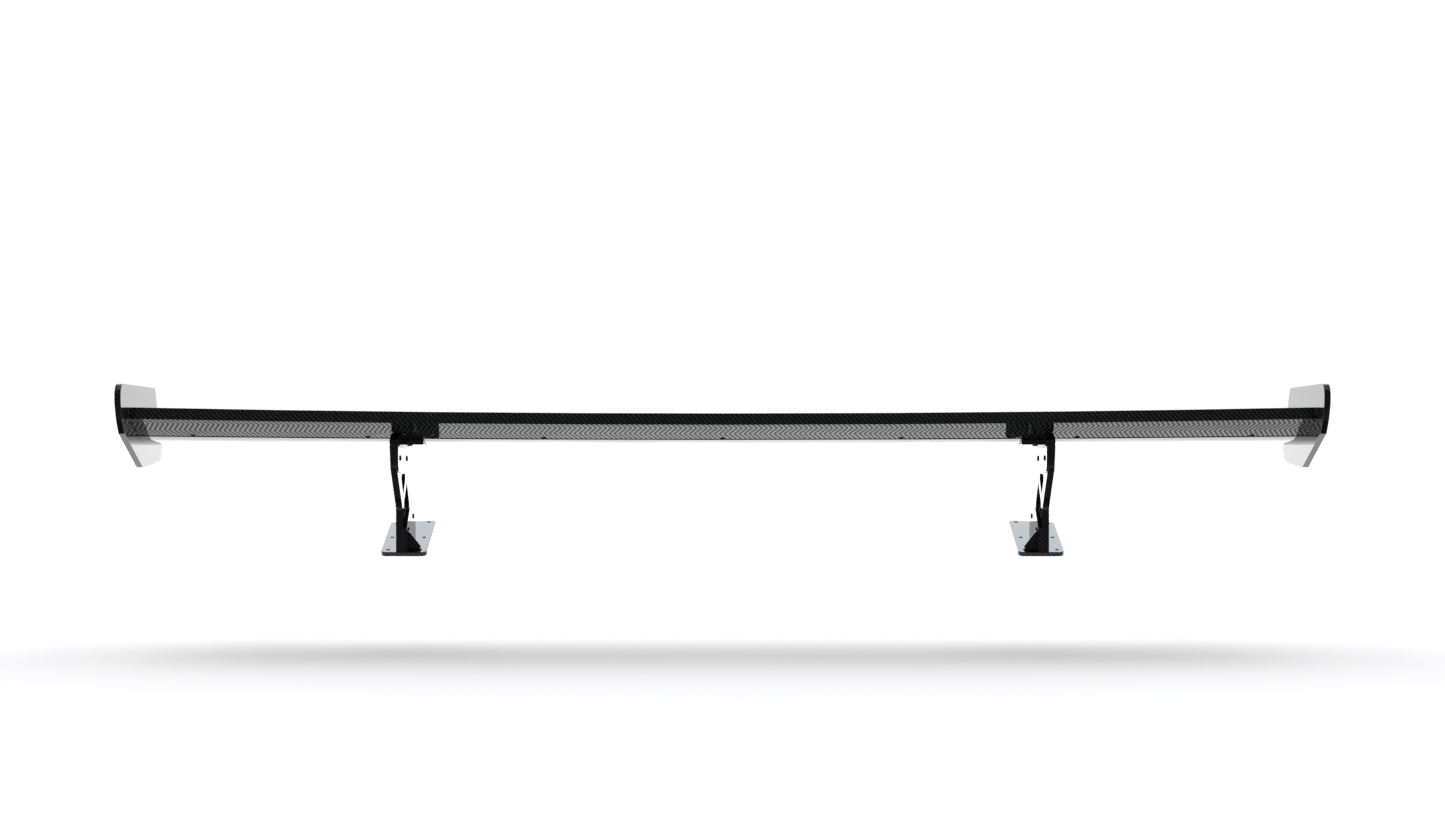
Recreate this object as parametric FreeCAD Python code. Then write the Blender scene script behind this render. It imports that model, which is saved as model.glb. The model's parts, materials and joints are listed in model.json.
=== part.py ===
import FreeCAD, Part
import math
import os

from FreeCAD import Matrix, Vector

# Adjustable racing rear wing: a carbon blade between two end plates, held by two cut-out
# uprights that stand on drilled foot plates.
# Millimetres. +X is the car's right, +Y is forward, +Z is up. The origin is midway between
# the two feet, on the undersides of the foot plates at their middle row of holes.
# The right side is built first, and the left side is its mirror image.

# Blade
HALF_BLADE = 789.8       # half the blade's length, inside the end plates
TAIL_Y = -147.0          # trailing edge of the skins
NOSE_Y = 22.0            # leading edge
NOSE_BREAK_Y = -1.0      # the tight nose lies ahead of this
TWIST_Y = 0.0            # the section turns about this line towards the tips
TIP_RISE = 7.9           # how far the trailing edge rises from the middle to the tips
SKIN = 2.0               # laminate thickness of the upper skin
REAR_SKIN = 1.5          # of the rear lower skin, which sits a step inside the upper skin's lip
SEAM_STEP = 0.8
BOND = 0.35              # glue line between a skin and the parts inside, measured upright
SEAM_Y = -89.0           # joint between the two skins, on the underside
SEAM_GAP = 0.9
OFFSET_POINTS = 14       # fitted points along each stretch of a skin's inside
UNDERSIDE = ((TAIL_Y, 161.6), (-132, 156.3), (-117, 151.1), (-103, 146.3), (-89, 141.7),
             (-77, 138.3), (-58, 135.2), (-35, 133.8), (-15, 133.3))
NOSE = ((2, 133.6), (16, 136.6), (NOSE_Y, 142.6), (16, 149.0), (-3, 154.6))
TOPSIDE = ((-35, 158.8), (-75, 160.6), (-112, 161.8), (TAIL_Y, 166.1))

# Flush screws of the rear lower skin
SEAM_SCREW_XS = (-715, -479, -241, 0, 241, 479, 715)
SEAM_SCREW_Y = -94.0
SEAM_SCREW_R = 1.5
SEAM_SCREW_HEAD_R = 3.5
SEAM_SCREW_HEAD_T = 0.6
SEAM_SCREW_SUNK = 0.9

# Gurney flap
FLAP_BACK_Y = -149.6
FLAP_BOTTOM_Z = 162.6
FLAP_TOP_Z = 177.6
FLAP_T = 2.0
FLAP_FOOT = 16.0
FLAP_FOOT_T = 1.2

# Inside the blade
REAR_SPAR_Y = (-83.0, -65.0)
FRONT_SPAR_Y = (-33.0, -13.0)
SPAR_WALL = 1.8
SPAR_HALF = 781.5
STRIP_Y = (-99.0, -84.5)
STRIP_T = 1.6
RIB_T = 7.0
END_RIB_X = 782.6
END_RIB_BACK_Y = -126.0
MOUNT_RIB_T = 6.0

# End plates
END_PLATE_X = 790.0      # inner face
END_PLATE_T = 8.4
END_PLATE_EDGE_R = 0.8
END_SCREW_YZ = ((-92, 156.6), (-48, 149.6), (-4, 144.6))

# Uprights
UPRIGHT_X = 435.8        # inboard face
UPRIGHT_T = 9.0

# Feet
TILT = 16.3              # foot plates slope up towards the front, degrees
PLATE_T = 6.0
PLATE_X = (402.9, 465.8)
PLATE_BACK = -62.5       # along the slope, from the middle row of holes
PLATE_FRONT_OUTER = 65.3
PLATE_FRONT_INNER = 73.6
HOLE_COLUMNS = (412.5, 456.5)
HOLE_ROWS = ((-52.0, -52.0), (0.0, 0.0), (66.0, 58.5))   # inner and outer hole of each row
HOLE_R = 2.75
RIB_PLATE_T = 6.0
GUSSET_Y = (-49.0, -45.0)

# Brackets between the blade and the uprights
PLAY = 0.1               # side play between a lug and its upright
LUG_T = 3.0
LUG_BACK_Y = -137.0
LUG_TOP_GAP = 0.6        # between a lug and the underside of the blade
FLANGE_X = 404.8         # inboard edge
FLANGE_BOTTOM = ((-85.0, 134.9), (-9.0, 129.6))   # straight; the top follows the blade
FLANGE_GLUE = 0.3        # glue line under the blade
PIVOT_YZ = (-113.0, 117.5)
ANGLE_BOLT_YZ = (-35.7, 115.4)
PITCH_RANGE = 4.5        # degrees of nose-down adjustment

# Fasteners
BOLT_R = 2.5             # M5
BOLT_HEAD_R = 3.6
BOLT_HEAD_T = 1.2
RUN_GAP = 0.05           # radial gap of a bolt in its hole
SLOT_GAP = 0.1
BUSH_R = 3.4             # brass bush of the pivot, pressed into the lug
INSERT_R = 4.2
FOOT_BOLT_YZ = ((-41.0, 17.9), (18.0, 34.4))
BRACKET_BOLT_X = 424.1
BRACKET_BOLT_YS = (-74.0, -23.0)
BRACKET_INSERT_R = 5.5
BRACKET_INSERT_T = 8.0
END_SCREW_R = 2.0        # M4
END_INSERT_R = 4.0

PITCH_SLOPE = math.radians(TILT)


# ---------------------------------------------------------------- outlines and plates

def unit(a, b):
    d = b.sub(a)
    return d.multiply(1.0 / d.Length)


def rounded_wire(corners):
    """Closed wire through (Vector, radius) corners, each rounded by a tangent arc."""
    edges = []
    starts = []
    count = len(corners)
    for i in range(count):
        point, radius = corners[i]
        to_last = unit(point, corners[i - 1][0])
        to_next = unit(point, corners[(i + 1) % count][0])
        if radius <= 0:
            starts.append((point, point, None))
            continue
        half = to_last.getAngle(to_next) / 2
        reach = radius / math.tan(half)
        a = point + to_last * reach
        b = point + to_next * reach
        middle = unit(Vector(0, 0, 0), to_last + to_next)
        arc_mid = point + middle * (radius / math.sin(half) - radius)
        starts.append((a, b, arc_mid))
    for i in range(count):
        a, b, arc_mid = starts[i]
        if arc_mid is not None:
            edges.append(Part.Arc(a, arc_mid, b).toShape())
        following = starts[(i + 1) % count][0]
        if b.distanceToPoint(following) > 1e-6:
            edges.append(Part.LineSegment(b, following).toShape())
    return Part.Wire(edges)


def side_plate(outline, x0, x1):
    """Plate between two X values, from a side outline of (y, z, corner radius)."""
    wire = rounded_wire([(Vector(x0, y, z), r) for y, z, r in outline])
    return Part.Face(wire).extrude(Vector(x1 - x0, 0, 0))


def rod_x(x0, x1, yz, radius):
    return Part.makeCylinder(radius, x1 - x0, Vector(x0, yz[0], yz[1]), Vector(1, 0, 0))


def round_plate_edges(plate, radius):
    """Round the long outline edges of a plate that lies across X."""
    box = plate.BoundBox
    rims = [e for e in plate.Edges if e.BoundBox.XLength < 1e-6
            and min(abs(e.BoundBox.XMin - box.XMin), abs(e.BoundBox.XMin - box.XMax)) < 1e-6]
    return plate.makeFillet(radius, rims)


def mirrored(shape):
    return shape.mirror(Vector(0, 0, 0), Vector(1, 0, 0))


def group(solids):
    return Part.makeCompound(solids)


# ---------------------------------------------------------------- blade surfaces

def section_curve():
    curve = Part.BSplineCurve()
    curve.interpolate([Vector(0, y, z) for y, z in UNDERSIDE + NOSE + TOPSIDE])
    return curve


SECTION = section_curve()
NOSE_PARAMETER = SECTION.parameter(Vector(0, NOSE_Y, NOSE[2][1]))


def parameter_at(y, top):
    """Parameter of the section curve at a given y, on the top or the underside."""
    low, high = (NOSE_PARAMETER, SECTION.LastParameter) if top else (SECTION.FirstParameter,
                                                                   NOSE_PARAMETER)
    for _ in range(60):
        middle = (low + high) / 2
        ahead = SECTION.value(middle).y > y
        if ahead == top:
            low = middle
        else:
            high = middle
    return (low + high) / 2


def skin_z(y, top):
    return SECTION.value(parameter_at(y, top)).z


def tip_slope(x):
    """Extra nose-down slope of the section at x, so that the trailing edge rises outward."""
    return TIP_RISE * (x / HALF_BLADE) ** 2 / (TWIST_Y - TAIL_Y)


def rise(x, y):
    return tip_slope(x) * (TWIST_Y - y)


def at_station(wire, x):
    move = Matrix()
    move.A14 = x
    move.A32 = -tip_slope(x)
    move.A34 = tip_slope(x) * TWIST_Y
    return wire.transformGeometry(move)


def swept_face(edge, half_length):
    """Exact face that carries an edge of the middle section out to both tips."""
    curve = edge.Curve.toBSpline(edge.FirstParameter, edge.LastParameter)
    slope = tip_slope(half_length)
    rows = []
    for pole in curve.getPoles():
        lift = slope * (TWIST_Y - pole.y)
        rows.append([Vector(-half_length, pole.y, pole.z + lift),
                     Vector(0, pole.y, pole.z - lift),
                     Vector(half_length, pole.y, pole.z + lift)])
    surface = Part.BSplineSurface()
    surface.buildFromPolesMultsKnots(rows, curve.getMultiplicities(), [3, 3], curve.getKnots(),
                                     [0, 1], False, False, curve.Degree, 2)
    return surface.toShape()


def along_blade(wire, half_length):
    """Solid that carries a middle section out to both tips."""
    faces = [swept_face(edge, half_length) for edge in wire.Edges]
    for x in (-half_length, half_length):
        faces.append(Part.Face(at_station(wire, x)))
    shell = Part.makeShell(faces)
    shell.sewShape()
    solid = Part.makeSolid(shell)
    if solid.Volume < 0:
        solid.reverse()
    return solid


def offset_edge(first, last, depth):
    """Curve inside the section at a constant depth below its surface."""
    points = []
    for i in range(OFFSET_POINTS):
        u = first + (last - first) * i / (OFFSET_POINTS - 1)
        point = SECTION.value(u)
        along = SECTION.tangent(u)[0]
        points.append(point + Vector(0, -along.z, along.y) * depth)
    curve = Part.BSplineCurve()
    curve.interpolate(points)
    return curve.toShape()


def nose_breaks():
    """Parameters where the tight nose begins and ends."""
    return [parameter_at(NOSE_BREAK_Y, False), parameter_at(NOSE_BREAK_Y, True)]


def skin_wire(breaks, outer_depth, inner_depth):
    """Section of a skin between parameters, split at each break into easy stretches."""
    outer = []
    inner = []
    for first, last in zip(breaks, breaks[1:]):
        if outer_depth:
            outer.append(offset_edge(first, last, outer_depth))
        else:
            outer.append(SECTION.toShape(first, last))
        inner.append(offset_edge(first, last, inner_depth))
    ends = [Part.LineSegment(inner[0].Vertexes[0].Point, outer[0].Vertexes[0].Point).toShape(),
            Part.LineSegment(outer[-1].Vertexes[1].Point, inner[-1].Vertexes[1].Point).toShape()]
    return Part.Wire(outer + [ends[1]] + inner[::-1] + [ends[0]])


def polygon(points):
    corners = [Vector(0, y, z) for y, z in points]
    return Part.makePolygon(corners + [corners[0]])


# ---------------------------------------------------------------- blade parts

def underside_frame(x, y):
    """Point on the underside and the outward normal there, pointing down."""
    z = skin_z(y, False) + rise(x, y)
    along = SECTION.tangent(parameter_at(y, False))[0]
    slope = along.z / along.y - tip_slope(x)
    normal = Vector(0, slope, -1)
    return Vector(x, y, z), normal.multiply(1.0 / normal.Length)


def upper_skin():
    first = parameter_at(SEAM_Y + SEAM_GAP / 2, False)
    breaks = [first] + nose_breaks() + [SECTION.LastParameter]
    return along_blade(skin_wire(breaks, 0.0, SKIN), HALF_BLADE)


def lower_skin():
    breaks = [SECTION.FirstParameter, parameter_at(SEAM_Y - SEAM_GAP / 2, False)]
    return along_blade(skin_wire(breaks, SEAM_STEP, SEAM_STEP + REAR_SKIN), HALF_BLADE)


def gurney_flap():
    lift = 0.15
    inner_y = FLAP_BACK_Y + FLAP_T
    foot_y = inner_y + FLAP_FOOT
    foot_low = skin_z(foot_y, True) + lift + 0.1
    heel_low = skin_z(TAIL_Y, True) + lift + 0.1
    outline = ((FLAP_BACK_Y, FLAP_BOTTOM_Z), (inner_y, FLAP_BOTTOM_Z), (inner_y, heel_low),
               (foot_y, foot_low), (foot_y, foot_low + FLAP_FOOT_T),
               (inner_y, heel_low + FLAP_FOOT_T), (inner_y, FLAP_TOP_Z),
               (FLAP_BACK_Y, FLAP_TOP_Z))
    return along_blade(polygon(outline), HALF_BLADE)


def between_skins(y0, y1, inset):
    """Four-sided section between the skins, from y0 to y1, inset from both."""
    margin = SKIN + BOND + inset
    return polygon(((y0 + inset, skin_z(y0 + inset, False) + margin),
                    (y1 - inset, skin_z(y1 - inset, False) + margin),
                    (y1 - inset, skin_z(y1 - inset, True) - margin),
                    (y0 + inset, skin_z(y0 + inset, True) - margin)))


def box_spar(ys):
    outside = along_blade(between_skins(ys[0], ys[1], 0.0), SPAR_HALF)
    inside = along_blade(between_skins(ys[0], ys[1], SPAR_WALL), SPAR_HALF + 1)
    return outside.cut(inside)


def seam_strip():
    y0, y1 = STRIP_Y
    depth = SEAM_STEP + REAR_SKIN + BOND
    low0 = skin_z(y0, False) + depth
    low1 = skin_z(y1, False) + depth
    outline = ((y0, low0), (y1, low1), (y1, low1 + STRIP_T), (y0, low0 + STRIP_T))
    return along_blade(polygon(outline), SPAR_HALF)


def mount_rib():
    clear = 0.4
    x0 = BRACKET_BOLT_X - MOUNT_RIB_T / 2
    section = between_skins(REAR_SPAR_Y[1] + clear, FRONT_SPAR_Y[0] - clear, 0.0)
    return Part.Face(at_station(section, x0)).extrude(Vector(MOUNT_RIB_T, 0, 0))


def end_rib():
    depth = SEAM_STEP + REAR_SKIN + BOND
    breaks = [parameter_at(END_RIB_BACK_Y, False)] + nose_breaks()
    breaks.append(parameter_at(END_RIB_BACK_Y, True))
    edges = [offset_edge(a, b, depth) for a, b in zip(breaks, breaks[1:])]
    edges.append(Part.LineSegment(edges[-1].Vertexes[1].Point,
                                  edges[0].Vertexes[0].Point).toShape())
    section = at_station(Part.Wire(edges), END_RIB_X + RIB_T / 2)
    section.translate(Vector(-RIB_T / 2, 0, 0))
    rib = Part.Face(section).extrude(Vector(RIB_T, 0, 0))
    for yz in END_SCREW_YZ:
        rib = rib.cut(rod_x(END_RIB_X - 1, END_RIB_X + RIB_T + 1, yz, END_INSERT_R))
    return rib


def seam_screw(x):
    """Flush screw through the rear skin into the strip, and the hole it needs."""
    point, down = underside_frame(x, SEAM_SCREW_Y)
    up = down.negative()
    face = point + up * (SEAM_STEP + SEAM_SCREW_SUNK)
    head = Part.makeCylinder(SEAM_SCREW_HEAD_R, SEAM_SCREW_HEAD_T, face, up)
    shank = Part.makeCylinder(SEAM_SCREW_R, SEAM_SCREW_HEAD_T + 2.5, face, up)
    hole = Part.makeCylinder(SEAM_SCREW_HEAD_R + SLOT_GAP, 5.0, point + down * 1.5, up)
    tapped = Part.makeCylinder(SEAM_SCREW_R + RUN_GAP, 9.0, point, up)
    return head.fuse(shank).removeSplitter(), hole, tapped


# ---------------------------------------------------------------- end plates

END_PLATE_OUTLINE = ((-199.2, 217.6, 16), (24.3, 212.8, 10), (73.3, 127.3, 5), (64.5, 113.0, 6),
                     (49.8, 108.8, 30), (6.9, 105.5, 60), (-58.4, 103.2, 16),
                     (-174, 150.8, 4), (-188.4, 167.7, 30), (-198.9, 190.1, 30))


def end_plate():
    plate = side_plate(END_PLATE_OUTLINE, END_PLATE_X, END_PLATE_X + END_PLATE_T)
    plate = round_plate_edges(plate, END_PLATE_EDGE_R)
    for yz in END_SCREW_YZ:
        hole = rod_x(END_PLATE_X - 1, END_PLATE_X + END_PLATE_T + 1, yz, END_SCREW_R + RUN_GAP)
        plate = plate.cut(hole)
    return plate


def end_screw(yz):
    face = END_PLATE_X + END_PLATE_T
    shank = rod_x(END_RIB_X, face, yz, END_SCREW_R)
    head = rod_x(face, face + BOLT_HEAD_T, yz, BOLT_HEAD_R)
    socket = hexagon_x(face + BOLT_HEAD_T - 0.9, face + BOLT_HEAD_T + 1, yz, 1.6)
    return head.fuse(shank).cut(socket)


def end_insert(yz):
    blank = rod_x(END_RIB_X, END_RIB_X + RIB_T, yz, END_INSERT_R - RUN_GAP)
    return blank.cut(rod_x(END_RIB_X - 1, END_RIB_X + RIB_T + 1, yz, END_SCREW_R + RUN_GAP))


def hexagon_x(x0, x1, yz, radius):
    corners = [Vector(x0, yz[0] + radius * math.cos(math.radians(60 * i)),
                      yz[1] + radius * math.sin(math.radians(60 * i))) for i in range(6)]
    return Part.Face(Part.makePolygon(corners + [corners[0]])).extrude(Vector(x1 - x0, 0, 0))


# ---------------------------------------------------------------- feet and uprights

def plate_top_z(y):
    """Height of the sloping foot plate's top face at a given y."""
    return PLATE_T / math.cos(PITCH_SLOPE) + y * math.tan(PITCH_SLOPE)


def tilted(shape):
    """Turn a shape that lies flat on z = 0 up to the foot plate's slope."""
    turned = shape.copy()
    turned.rotate(Vector(0, 0, 0), Vector(1, 0, 0), TILT)
    return turned


def base_plate():
    inner, outer = PLATE_X
    corners = ((inner, PLATE_BACK, 8), (outer, PLATE_BACK, 8), (outer, PLATE_FRONT_OUTER, 6),
               (inner, PLATE_FRONT_INNER, 6))
    wire = rounded_wire([(Vector(x, y, 0), r) for x, y, r in corners])
    plate = Part.Face(wire).extrude(Vector(0, 0, PLATE_T))
    for row in HOLE_ROWS:
        for x, y in zip(HOLE_COLUMNS, row):
            plate = plate.cut(Part.makeCylinder(HOLE_R, PLATE_T + 2, Vector(x, y, -1)))
    rims = [e for e in plate.Edges if e.BoundBox.ZLength < 1e-6 and e.Length > 5
            and abs(e.CenterOfMass.z - PLATE_T / 2) > 1 and not round_hole_edge(e)]
    return tilted(plate.makeFillet(0.8, rims))


def round_hole_edge(edge):
    return isinstance(edge.Curve, Part.Circle) and edge.Curve.Radius < HOLE_R + 1


def base_rib():
    x0 = UPRIGHT_X - RIB_PLATE_T
    outline = ((-60, plate_top_z(-60), 0), (-60, 22, 4), (-24, 47, 8), (22, 47, 8),
               (46, 27, 6), (46, plate_top_z(46), 0))
    rib = side_plate(outline, x0, UPRIGHT_X)
    for yz in FOOT_BOLT_YZ:
        rib = rib.cut(rod_x(x0 - 1, UPRIGHT_X + 1, yz, BOLT_R + RUN_GAP))
    return rib


def base_gusset():
    """Triangle behind the rib, that stands on the sloping plate."""
    x1 = UPRIGHT_X - RIB_PLATE_T
    y0, y1 = GUSSET_Y
    low = plate_top_z(y0) - 2
    outline = ((x1, 18.5), (411.9, -4.7), (415.8, low), (x1, low))
    corners = [Vector(x, y0, z) for x, z in outline]
    blank = Part.Face(Part.makePolygon(corners + [corners[0]])).extrude(Vector(0, y1 - y0, 0))
    below = Part.makeBox(100, 200, 50, Vector(380, -100, PLATE_T - 50))
    return blank.cut(tilted(below))


UPRIGHT_OUTLINE = ((-60, plate_top_z(-60), 0), (-60, 49, 16), (-123.5, 102.5, 22),
                   (-136.0, 142.5, 7), (-112.5, 151.0, 2), (-92, 141.8, 12), (-75, 135.0, 20),
                   (-35, 127, 30), (4.5, 119, 7), (7.5, 96.5, 18), (38, 50.5, 14),
                   (38, plate_top_z(38), 0))
UPPER_OPENING = ((-82.5, 95, 6), (-50.5, 66, 4), (-17.5, 95, 6))
LOWER_OPENING = ((-42, 24, 5), (-42, 57, 9), (-9, 83, 3.5), (21, 52, 9), (21, 42.4, 5))


def upright():
    plate = side_plate(UPRIGHT_OUTLINE, UPRIGHT_X, UPRIGHT_X + UPRIGHT_T)
    for opening in (UPPER_OPENING, LOWER_OPENING):
        plate = plate.cut(side_plate(opening, UPRIGHT_X - 1, UPRIGHT_X + UPRIGHT_T + 1))
    for yz in insert_places():
        plate = plate.cut(rod_x(UPRIGHT_X - 1, UPRIGHT_X + UPRIGHT_T + 1, yz, INSERT_R))
    return plate


def insert_places():
    return FOOT_BOLT_YZ + (PIVOT_YZ, ANGLE_BOLT_YZ)


def upright_insert(yz):
    blank = rod_x(UPRIGHT_X, UPRIGHT_X + UPRIGHT_T, yz, INSERT_R - RUN_GAP)
    return blank.cut(rod_x(UPRIGHT_X - 1, UPRIGHT_X + UPRIGHT_T + 1, yz, BOLT_R + RUN_GAP))


def socket_bolt(seat_x, end_x, yz):
    """Low-headed socket bolt along +X, whose head sits on seat_x."""
    shank = rod_x(seat_x, end_x, yz, BOLT_R)
    head = rod_x(seat_x - BOLT_HEAD_T, seat_x, yz, BOLT_HEAD_R)
    socket = hexagon_x(seat_x - BOLT_HEAD_T - 1, seat_x - 0.3, yz, 1.7)
    return head.fuse(shank).cut(socket)


def pivot_bush():
    """Plain bush in the lug, that turns on the pivot bolt."""
    x1 = UPRIGHT_X - PLAY
    blank = rod_x(x1 - LUG_T, x1, PIVOT_YZ, BUSH_R - RUN_GAP / 2)
    return blank.cut(rod_x(x1 - LUG_T - 1, x1 + 1, PIVOT_YZ, BOLT_R + RUN_GAP))


# ---------------------------------------------------------------- brackets

def flange_bottom(y):
    """Point on the flange's underside at a given y, on the line of the bracket bolts."""
    (y0, z0), (y1, z1) = FLANGE_BOTTOM
    return Vector(BRACKET_BOLT_X, y, z0 + (z1 - z0) * (y - y0) / (y1 - y0))


def under_blade(y, gap):
    """Corner (y, z, 0) at a gap below the blade, level with the flange's inboard edge."""
    return (y, skin_z(y, False) + rise(FLANGE_X, y) - gap, 0)


def lug_slot(x0, x1):
    """Arc slot round the pivot, for the angle bolt."""
    py, pz = PIVOT_YZ
    dy = ANGLE_BOLT_YZ[0] - py
    dz = ANGLE_BOLT_YZ[1] - pz
    radius = math.hypot(dy, dz)
    half_width = BOLT_R + SLOT_GAP
    start = math.atan2(dz, dy) - math.radians(0.25)
    end = start + math.radians(PITCH_RANGE + 0.5)

    def at(angle, r):
        return Vector(x0, py + r * math.cos(angle), pz + r * math.sin(angle))

    middle = (start + end) / 2
    cap = half_width / radius
    edges = [Part.Arc(at(start, radius - half_width), at(middle, radius - half_width),
                      at(end, radius - half_width)),
             Part.Arc(at(end, radius - half_width), at(end + cap, radius),
                      at(end, radius + half_width)),
             Part.Arc(at(end, radius + half_width), at(middle, radius + half_width),
                      at(start, radius + half_width)),
             Part.Arc(at(start, radius + half_width), at(start - cap, radius),
                      at(start, radius - half_width))]
    wire = Part.Wire([edge.toShape() for edge in edges])
    return Part.Face(wire).extrude(Vector(x1 - x0, 0, 0))


def bracket():
    """L-shaped bracket: a flange under the blade and a lug beside the upright."""
    x1 = UPRIGHT_X - PLAY
    x0 = x1 - LUG_T
    (y0, z0), (y1, z1) = FLANGE_BOTTOM
    top = [under_blade(y1 + (y0 - y1) * i / 12, FLANGE_GLUE) for i in range(13)]
    flange = side_plate([(y0, z0, 1), (y1, z1, 1)] + top, FLANGE_X, x1)
    top = [under_blade(y, LUG_TOP_GAP) for y in (y1, -22, -35, -50, -65, -80, -95, -113)]
    lug = side_plate([(LUG_BACK_Y, 142, 7), (LUG_BACK_Y, 101, 12), (-91, 96.2, 60),
                      (-45, 98.2, 16), (y1, 112, 12)] + top, x0, x1)
    lug = lug.cut(rod_x(x0 - 1, x1 + 1, PIVOT_YZ, BUSH_R))
    lug = lug.cut(lug_slot(x0 - 1, x1 + 1))
    solid = flange.fuse(lug).removeSplitter()
    for y in BRACKET_BOLT_YS:
        solid = solid.cut(bracket_bolt_hole(y, BOLT_R + RUN_GAP, 20))
    sink = bracket_bolt_hole(BRACKET_BOLT_YS[1], BOLT_HEAD_R + SLOT_GAP, 3 + BOLT_HEAD_T + 0.2)
    return solid.cut(sink)


def bracket_axis():
    """Direction of the bracket bolts, square to the flange's underside."""
    along = unit(flange_bottom(BRACKET_BOLT_YS[0]), flange_bottom(BRACKET_BOLT_YS[1]))
    return Vector(0, -along.z, along.y)


def bracket_bolt_hole(y, radius, length):
    up = bracket_axis()
    return Part.makeCylinder(radius, length, flange_bottom(y) - up * 3, up)


def bracket_bolt(y):
    up = bracket_axis()
    seat = flange_bottom(y)
    if y == BRACKET_BOLT_YS[1]:
        seat = seat + up * (BOLT_HEAD_T + 0.2)
    length = (bracket_insert_foot(y) - seat).Length + BRACKET_INSERT_T - 1
    shank = Part.makeCylinder(BOLT_R, length, seat, up)
    head = Part.makeCylinder(BOLT_HEAD_R, BOLT_HEAD_T, seat - up * BOLT_HEAD_T, up)
    socket = Part.makeCylinder(1.6, 0.9, seat - up * BOLT_HEAD_T, up)
    return head.fuse(shank).cut(socket)


def bracket_insert_foot(y):
    """Foot of an insert, just above the spar's floor."""
    floor = skin_z(y, False) + rise(BRACKET_BOLT_X, y) + SKIN + BOND + SPAR_WALL
    return flange_bottom(y) + bracket_axis() * (floor - flange_bottom(y).z + 1.2)


def bracket_insert(y):
    up = bracket_axis()
    foot = bracket_insert_foot(y)
    blank = Part.makeCylinder(BRACKET_INSERT_R, BRACKET_INSERT_T, foot, up)
    return blank.cut(Part.makeCylinder(BOLT_R + RUN_GAP, BRACKET_INSERT_T, foot - up, up))


# ---------------------------------------------------------------- assembly

def blade_nodes():
    """Parts that span the whole blade, with the holes that their screws need."""
    nodes = {"blade_upper_skin": upper_skin(), "blade_lower_skin": lower_skin(),
             "gurney_flap": gurney_flap(), "seam_strip": seam_strip(),
             "front_spar": box_spar(FRONT_SPAR_Y), "rear_spar": box_spar(REAR_SPAR_Y)}
    screws = []
    for x in SEAM_SCREW_XS:
        screw, hole, tapped = seam_screw(x)
        screws.append(screw)
        nodes["blade_lower_skin"] = nodes["blade_lower_skin"].cut(hole)
        nodes["seam_strip"] = nodes["seam_strip"].cut(tapped)
    nodes["skin_screws"] = group(screws)
    for y, spar in zip(BRACKET_BOLT_YS, ("rear_spar", "front_spar")):
        hole = bracket_bolt_hole(y, BOLT_R + 0.3, 18)
        for cutter in (hole, mirrored(hole)):
            nodes["blade_upper_skin"] = nodes["blade_upper_skin"].cut(cutter)
            nodes[spar] = nodes[spar].cut(cutter)
    return nodes


def side_nodes():
    """Parts of the right side. The left side has their mirror images."""
    rib_face = UPRIGHT_X - RIB_PLATE_T
    lug_face = UPRIGHT_X - PLAY - LUG_T - PLAY
    far = UPRIGHT_X + UPRIGHT_T
    return {
        "base_plate": base_plate(),
        "base_rib": base_rib(),
        "base_gusset": base_gusset(),
        "upright": upright(),
        "upright_inserts": group([upright_insert(yz) for yz in insert_places()]),
        "rib_bolts": group([socket_bolt(rib_face, far - 0.5, yz) for yz in FOOT_BOLT_YZ]),
        "pivot_bolt": socket_bolt(lug_face, far - 0.5, PIVOT_YZ),
        "pivot_bush": pivot_bush(),
        "angle_bolt": socket_bolt(lug_face, far - 0.5, ANGLE_BOLT_YZ),
        "bracket": bracket(),
        "bracket_bolts": group([bracket_bolt(y) for y in BRACKET_BOLT_YS]),
        "bracket_inserts": group([bracket_insert(y) for y in BRACKET_BOLT_YS]),
        "mount_rib": mount_rib(),
        "end_rib": end_rib(),
        "end_plate": end_plate(),
        "end_plate_screws": group([end_screw(yz) for yz in END_SCREW_YZ]),
        "end_plate_inserts": group([end_insert(yz) for yz in END_SCREW_YZ]),
    }


def main():
    os.makedirs("parts", exist_ok=True)
    nodes = blade_nodes()
    for name, shape in side_nodes().items():
        nodes[name + "_R"] = shape
        nodes[name + "_L"] = mirrored(shape)
    for name, shape in nodes.items():
        shape.exportStep("parts/" + name + ".step")


main()
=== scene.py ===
import json
import math

import bpy
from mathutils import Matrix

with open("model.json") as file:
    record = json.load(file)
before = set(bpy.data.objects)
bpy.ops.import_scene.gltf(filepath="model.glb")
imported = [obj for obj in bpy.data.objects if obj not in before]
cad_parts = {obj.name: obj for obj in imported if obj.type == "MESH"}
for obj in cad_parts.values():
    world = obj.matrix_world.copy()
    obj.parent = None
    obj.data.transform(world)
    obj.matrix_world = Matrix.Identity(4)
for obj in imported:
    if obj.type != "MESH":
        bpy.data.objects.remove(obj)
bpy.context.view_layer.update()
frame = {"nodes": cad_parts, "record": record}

# Racing rear wing in carbon fibre, seen from behind the car. Metres, in the frame of the CAD.

# ---------------------------------------------------------------- driving values

CAMERA_PLACE = (0.0, -3.860, 0.1867)
CAMERA_LENS = 69.5       # mm on a 36 mm wide sensor

# Carbon twill
TOW = 0.00168            # width of one carbon tow
REPEAT = 4.0             # tows until the weave repeats
HERRINGBONE = 6 * TOW    # the rear skin's twill turns back after this
REAR_STRETCH = 2.2       # the rear skin's cloth is drawn out this much from front to back
CROWN_FALL = 3.2         # how quickly a tow rounds off towards its sides
ARCH_LENGTH = 2.6        # tows over which a float arches from one crossing to the next
WEAVE_DEPTH = 0.0002
DARK_TOW = 0.0025        # tones of the fibre
LIGHT_TOW = 0.045
LIGHT_TOW_PLATE = 0.02
LIGHT_TOW_BARE = 0.10
WEFT_TONE = 0.04         # tone of the crossing tows against the others
FIBRE_SCALE = 2600.0     # fine streaks, and slow drift of the lacquer
DRIFT_SCALE = 9.0

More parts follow.
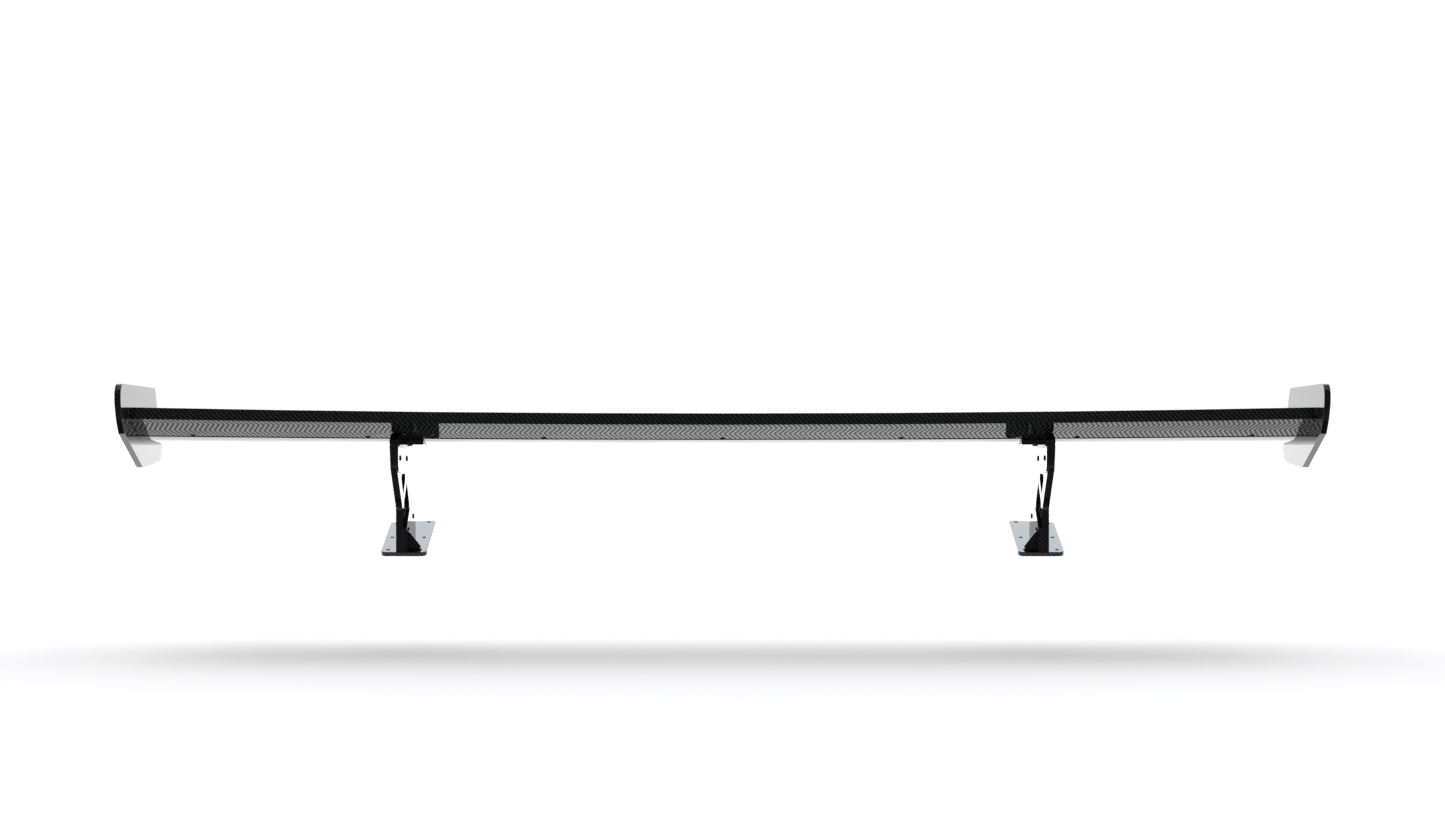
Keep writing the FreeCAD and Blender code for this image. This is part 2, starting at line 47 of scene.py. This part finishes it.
# Sky: brightness, and the heights or depths of a ray between which one passes into the next
BACKDROP = 1.05          # white that the camera sees behind everything
SKY_BEHIND = 0.10        # studio brightness behind the camera
SKY_FRONT = 2.1          # beyond the wing, level
SKY_ABOVE = 3.9          # in front, high up
SKY_ZENITH = 5.0         # overhead, as lamps that cast the floor's shadow
SKY_ZENITH_MIRRORED = 1.0
FRONT_FROM = (-0.35, 0.55)
ABOVE_FROM = (0.12, 0.55)
ZENITH_FROM = (0.72, 0.86)
WHITE = (1.0, 1.0, 1.0, 1.0)
COOL = (0.88, 0.95, 1.0, 1.0)

# Floor
FLOOR_Z = -0.15          # pale studio floor, below the feet
FLOOR_HALF = 30.0
FLOOR_COLOUR = (0.415, 0.386, 0.373)   # warm enough to look neutral under the cool sky
PAINTED_FLOOR_GLOW = (0.15, 1.85, 2.85)  # painted floor light that lacquer mirrors: behind the wing (dim, painted shade), below it and ahead
GLOW_BELOW_FROM = (-0.55, 0.15)  # where along the floor the second of these takes over
GLOW_AHEAD_FROM = (0.15, 0.45)   # and the third
STEEP_FROM = (0.74, 0.95)        # how steeply a ray comes down before it meets the painted shadow
GLOW_IN_PAINTED_SHADOW = 0.08        # share of the glow that is seen straight down, under the painted shadow

nodes = frame["nodes"]


# ---------------------------------------------------------------- node helpers

class Tree:
    """Short calls for building a shader node tree."""

    def __init__(self, tree):
        self.tree = tree

    def add(self, kind, **settings):
        node = self.tree.nodes.new(kind)
        for name, value in settings.items():
            setattr(node, name, value)
        return node

    def link(self, source, target):
        self.tree.links.new(source, target)

    def feed(self, node, index, value):
        """Give an input a link or a plain value."""
        if isinstance(value, bpy.types.NodeSocket):
            self.link(value, node.inputs[index])
        elif value is not None:
            node.inputs[index].default_value = value

    def math(self, operation, a, b=None, c=None, clamp=False):
        node = self.add("ShaderNodeMath", operation=operation, use_clamp=clamp)
        for index, value in enumerate((a, b, c)):
            self.feed(node, index, value)
        return node.outputs[0]

    def vector(self, operation, a, b=None, scale=None):
        node = self.add("ShaderNodeVectorMath", operation=operation)
        self.feed(node, 0, a)
        self.feed(node, 1, b)
        if scale is not None:
            self.feed(node, "Scale", scale)
        return node.outputs[0]

    def split(self, vector):
        node = self.add("ShaderNodeSeparateXYZ")
        self.link(vector, node.inputs[0])
        return node.outputs

    def join(self, x, y, z):
        node = self.add("ShaderNodeCombineXYZ")
        for index, value in enumerate((x, y, z)):
            self.feed(node, index, value)
        return node.outputs[0]

    def mix(self, factor, a, b, kind="FLOAT"):
        node = self.add("ShaderNodeMix", data_type=kind)
        first, result = {"FLOAT": (2, 0), "RGBA": (6, 2)}[kind]
        self.feed(node, 0, factor)
        self.feed(node, first, a)
        self.feed(node, first + 1, b)
        return node.outputs[result]

    def ramp(self, value, low, high, out_low=0.0, out_high=1.0, smooth=True):
        node = self.add("ShaderNodeMapRange",
                        interpolation_type="SMOOTHSTEP" if smooth else "LINEAR")
        for index, item in enumerate((value, low, high, out_low, out_high)):
            self.feed(node, index, item)
        return node.outputs[0]

    def noise(self, vector, scale, detail=2.0, roughness=0.5):
        node = self.add("ShaderNodeTexNoise")
        self.feed(node, "Vector", vector)
        self.feed(node, "Scale", scale)
        self.feed(node, "Detail", detail)
        self.feed(node, "Roughness", roughness)
        return node.outputs[0]


def new_material(name):
    material = bpy.data.materials.new(name)
    material.use_nodes = True
    material.node_tree.nodes.clear()
    tree = Tree(material.node_tree)
    surface = tree.add("ShaderNodeBsdfPrincipled")
    output = tree.add("ShaderNodeOutputMaterial")
    tree.link(surface.outputs[0], output.inputs["Surface"])
    return material, tree, surface


# ---------------------------------------------------------------- carbon weave

def weave_group():
    """2x2 twill in the plane of (u, v). Out: which tow is on top, and its height."""
    group = bpy.data.node_groups.new("twill_weave", "ShaderNodeTree")
    for name in ("U", "V"):
        group.interface.new_socket(name, in_out="INPUT", socket_type="NodeSocketFloat")
    for name in ("Warp", "Height"):
        group.interface.new_socket(name, in_out="OUTPUT", socket_type="NodeSocketFloat")
    t = Tree(group)
    given = t.add("NodeGroupInput")
    result = t.add("NodeGroupOutput")
    u = t.math("DIVIDE", given.outputs["U"], TOW)
    v = t.math("DIVIDE", given.outputs["V"], TOW)
    column = t.math("FLOOR", u)
    row = t.math("FLOOR", v)

    def in_repeat(value):
        """Place within one repeat, also for values below zero."""
        left = t.math("MODULO", value, REPEAT)
        return t.math("MODULO", t.math("ADD", left, REPEAT), REPEAT)

    # The first two of four tows have the warp on top.
    warp = t.math("LESS_THAN", in_repeat(t.math("ADD", column, row)), 1.5)

    def tow_height(across, along_phase, centre):
        """Rounded tow: highest in the middle of its width and of its float."""
        side = t.math("SUBTRACT", t.math("FRACT", across), 0.5)
        fall = t.math("MULTIPLY", t.math("MULTIPLY", side, side), CROWN_FALL)
        crown = t.math("SUBTRACT", 1.0, fall)
        run = t.math("SUBTRACT", in_repeat(along_phase), centre)
        arch = t.math("COSINE", t.math("MULTIPLY", run, math.pi / ARCH_LENGTH))
        return t.math("MULTIPLY", crown, arch)

    warp_height = tow_height(u, t.math("ADD", v, column), 1.0)
    weft_height = tow_height(v, t.math("ADD", u, row), 3.0)
    t.link(warp, result.inputs["Warp"])
    t.link(t.mix(warp, weft_height, warp_height), result.inputs["Height"])
    return group


WEAVE = weave_group()


def add_weave(t, stretch, herringbone):
    """The weave on the plane that a face lies nearest to. Returns its outputs and the place."""
    place = t.add("ShaderNodeTexCoord")
    x, y, z = t.split(t.vector("DIVIDE", place.outputs["Object"], (1.0, stretch, 1.0)))
    facing = t.split(t.vector("ABSOLUTE", place.outputs["Normal"]))
    side_on = t.math("MULTIPLY", t.math("GREATER_THAN", facing[0], facing[1]),
                     t.math("GREATER_THAN", facing[0], facing[2]))
    back_on = t.math("GREATER_THAN", facing[1], facing[2])
    back_on = t.math("MULTIPLY", back_on, t.math("SUBTRACT", 1.0, side_on))
    u = t.mix(side_on, x, y)
    v = t.mix(side_on, t.mix(back_on, y, z), z)
    if herringbone:
        v = t.math("PINGPONG", v, herringbone)
    node = t.add("ShaderNodeGroup", node_tree=WEAVE)
    t.link(u, node.inputs["U"])
    t.link(v, node.inputs["V"])
    return node.outputs, place.outputs["Object"]


def carbon(name, lacquer=(0.9, 1.0), light=LIGHT_TOW, edge=0.0006, stretch=1.0,
           herringbone=0.0):
    """Twill carbon under lacquer, whose shine runs from the valleys to the crowns of the weave."""
    material, t, surface = new_material(name)
    weave, place = add_weave(t, stretch, herringbone)
    fibre = t.noise(place, FIBRE_SCALE, 1.0, 0.6)
    cloud = t.noise(place, DRIFT_SCALE, 3.0, 0.6)
    crown = t.ramp(weave["Height"], 0.1, 0.8)
    tone = t.math("MULTIPLY", crown, t.mix(weave["Warp"], WEFT_TONE, 1.0))
    fibres = t.ramp(fibre, 0.3, 0.7, 0.8, 1.15, False)
    drift = t.ramp(cloud, 0.3, 0.7, 0.92, 1.08, False)
    level = t.math("MULTIPLY", t.math("MULTIPLY", tone, fibres), drift)
    level = t.math("ADD", t.math("MULTIPLY", level, light), DARK_TOW)
    t.link(t.join(level, level, t.math("MULTIPLY", level, 1.05)), surface.inputs["Base Color"])
    surface.inputs["Specular IOR Level"].default_value = 0.0
    t.link(t.ramp(crown, 0.0, 1.0, 0.5, 0.34, False), surface.inputs["Roughness"])
    soft = t.add("ShaderNodeBevel", samples=4)
    soft.inputs["Radius"].default_value = edge
    bump = t.add("ShaderNodeBump")
    bump.inputs["Strength"].default_value = 0.3
    bump.inputs["Distance"].default_value = WEAVE_DEPTH
    t.link(weave["Height"], bump.inputs["Height"])
    t.link(soft.outputs[0], bump.inputs["Normal"])
    t.link(bump.outputs[0], surface.inputs["Normal"])
    t.link(t.mix(tone, lacquer[0], lacquer[1]), surface.inputs["Coat Weight"])
    surface.inputs["Coat IOR"].default_value = 1.5
    t.link(t.ramp(cloud, 0.3, 0.7, 0.02, 0.035, False), surface.inputs["Coat Roughness"])
    t.link(soft.outputs[0], surface.inputs["Coat Normal"])
    return material


def metal(name, colour, rough, metallic=1.0, shine=0.5):
    """Turned metal with fine marks, faint stains and softened edges."""
    material, t, surface = new_material(name)
    place = t.add("ShaderNodeTexCoord").outputs["Object"]
    marks = t.noise(t.vector("MULTIPLY", place, (9.0, 1.0, 1.0)), 900.0, 4.0, 0.6)
    stains = t.noise(place, 160.0, 3.0, 0.6)
    shade = t.ramp(stains, 0.3, 0.7, 0.8, 1.2, False)
    t.link(t.vector("SCALE", colour, scale=shade), surface.inputs["Base Color"])
    surface.inputs["Metallic"].default_value = metallic
    surface.inputs["Specular IOR Level"].default_value = shine
    t.link(t.ramp(marks, 0.3, 0.7, rough - 0.06, rough + 0.1, False),
           surface.inputs["Roughness"])
    soft = t.add("ShaderNodeBevel", samples=4)
    soft.inputs["Radius"].default_value = 0.0004
    bump = t.add("ShaderNodeBump")
    bump.inputs["Strength"].default_value = 0.15
    bump.inputs["Distance"].default_value = 0.0001
    t.link(marks, bump.inputs["Height"])
    t.link(soft.outputs[0], bump.inputs["Normal"])
    t.link(bump.outputs[0], surface.inputs["Normal"])
    return material


SKIN = carbon("carbon_blade")
REAR_SKIN = carbon("carbon_blade_rear", (0.25, 1.0), stretch=REAR_STRETCH,
                   herringbone=HERRINGBONE)
PLATE = carbon("carbon_plate", (0.75, 1.0), light=LIGHT_TOW_PLATE, edge=0.0005)
INNER = carbon("carbon_bare", (0.05, 0.15), light=LIGHT_TOW_BARE)
BLACK_STEEL = metal("black_oxide_steel", (0.012, 0.012, 0.013), 0.5, 0.1, 0.15)
ALLOY = metal("machined_alloy", (0.62, 0.63, 0.65), 0.3)
BRASS = metal("turned_brass", (0.68, 0.49, 0.2), 0.28)

FINISH = {"carbon_gloss": SKIN, "carbon_plate": PLATE, "carbon_inner": INNER,
          "black_steel": BLACK_STEEL, "alloy_insert": ALLOY, "brass_bush": BRASS}


def finish_nodes():
    """Give every CAD node the finish of its material slot."""
    for part in frame["record"]["subparts"]:
        mesh = nodes[part["node"]].data
        mesh.materials.clear()
        mesh.materials.append(FINISH[part["material_slot"]])
    rear = nodes["blade_lower_skin"].data
    rear.materials.clear()
    rear.materials.append(REAR_SKIN)


finish_nodes()


# ---------------------------------------------------------------- studio

def painted_floor_glow(t):
    """Painted floor light in the lacquer: brightness by place and by how steeply a ray comes down,
    with painted shade behind the wing and a painted shadow straight below.
    """
    geometry = t.add("ShaderNodeNewGeometry").outputs
    y = t.split(geometry["Position"])[1]
    behind, below, ahead = PAINTED_FLOOR_GLOW
    level = t.math("ADD", t.ramp(y, *GLOW_BELOW_FROM, behind, below),
                   t.ramp(y, *GLOW_AHEAD_FROM, 0.0, ahead - below))
    steep = t.split(geometry["Incoming"])[2]
    return t.math("MULTIPLY", level, t.ramp(steep, *STEEP_FROM, 1.0, GLOW_IN_PAINTED_SHADOW))


def studio_floor():
    """A matt floor for the camera, and a glowing one, painted light, for what the lacquer mirrors
    and what lights the wing from below.
    """
    mesh = bpy.data.meshes.new("studio_floor")
    half = FLOOR_HALF
    corners = [(-half, -half, FLOOR_Z), (half, -half, FLOOR_Z), (half, half, FLOOR_Z),
               (-half, half, FLOOR_Z)]
    mesh.from_pydata(corners, [], [(0, 1, 2, 3)])
    floor = bpy.data.objects.new("studio_floor", mesh)
    bpy.context.scene.collection.objects.link(floor)
    material, t, surface = new_material("pale_floor")
    surface.inputs["Base Color"].default_value = (*FLOOR_COLOUR, 1.0)
    surface.inputs["Roughness"].default_value = 0.9
    surface.inputs["Specular IOR Level"].default_value = 0.0
    # The floor glows for every ray but the camera's: painted light, not a lamp.
    glow = t.add("ShaderNodeEmission")
    t.link(painted_floor_glow(t), glow.inputs["Strength"])
    choice = t.add("ShaderNodeMixShader")
    t.link(t.add("ShaderNodeLightPath").outputs["Is Camera Ray"], choice.inputs[0])
    t.link(glow.outputs[0], choice.inputs[1])
    t.link(surface.outputs[0], choice.inputs[2])
    output = [node for node in material.node_tree.nodes if node.type == "OUTPUT_MATERIAL"][0]
    t.link(choice.outputs[0], output.inputs["Surface"])
    mesh.materials.append(material)


def studio_sky():
    """Even white studio: dim behind the camera, bright beyond the wing, cool high in front."""
    world = bpy.data.worlds.new("studio")
    world.use_nodes = True
    world.node_tree.nodes.clear()
    t = Tree(world.node_tree)
    way = t.add("ShaderNodeTexCoord").outputs["Generated"]
    y, z = t.split(way)[1:3]
    front = t.ramp(y, *FRONT_FROM)
    high = t.ramp(z, *ABOVE_FROM)
    level = t.mix(front, SKY_BEHIND, t.mix(high, SKY_FRONT, SKY_ABOVE))
    path = t.add("ShaderNodeLightPath").outputs
    overhead = t.mix(path["Is Diffuse Ray"], SKY_ZENITH_MIRRORED, SKY_ZENITH)
    level = t.mix(t.ramp(z, *ZENITH_FROM), level, overhead)
    tint = t.mix(high, WHITE, COOL, "RGBA")
    level = t.mix(path["Is Camera Ray"], level, BACKDROP)
    tint = t.mix(path["Is Camera Ray"], tint, WHITE, "RGBA")
    shine = t.add("ShaderNodeBackground")
    t.link(tint, shine.inputs["Color"])
    t.link(level, shine.inputs["Strength"])
    output = t.add("ShaderNodeOutputWorld")
    t.link(shine.outputs[0], output.inputs["Surface"])
    bpy.context.scene.world = world


def camera():
    lens = bpy.data.cameras.new("camera")
    lens.lens = CAMERA_LENS
    lens.sensor_width = 36.0
    lens.clip_end = 100.0
    holder = bpy.data.objects.new("camera", lens)
    holder.location = CAMERA_PLACE
    holder.rotation_euler = (math.pi / 2, 0.0, 0.0)
    bpy.context.scene.collection.objects.link(holder)
    bpy.context.scene.camera = holder


studio_floor()
studio_sky()
camera()
bpy.context.scene.view_settings.view_transform = "Standard"
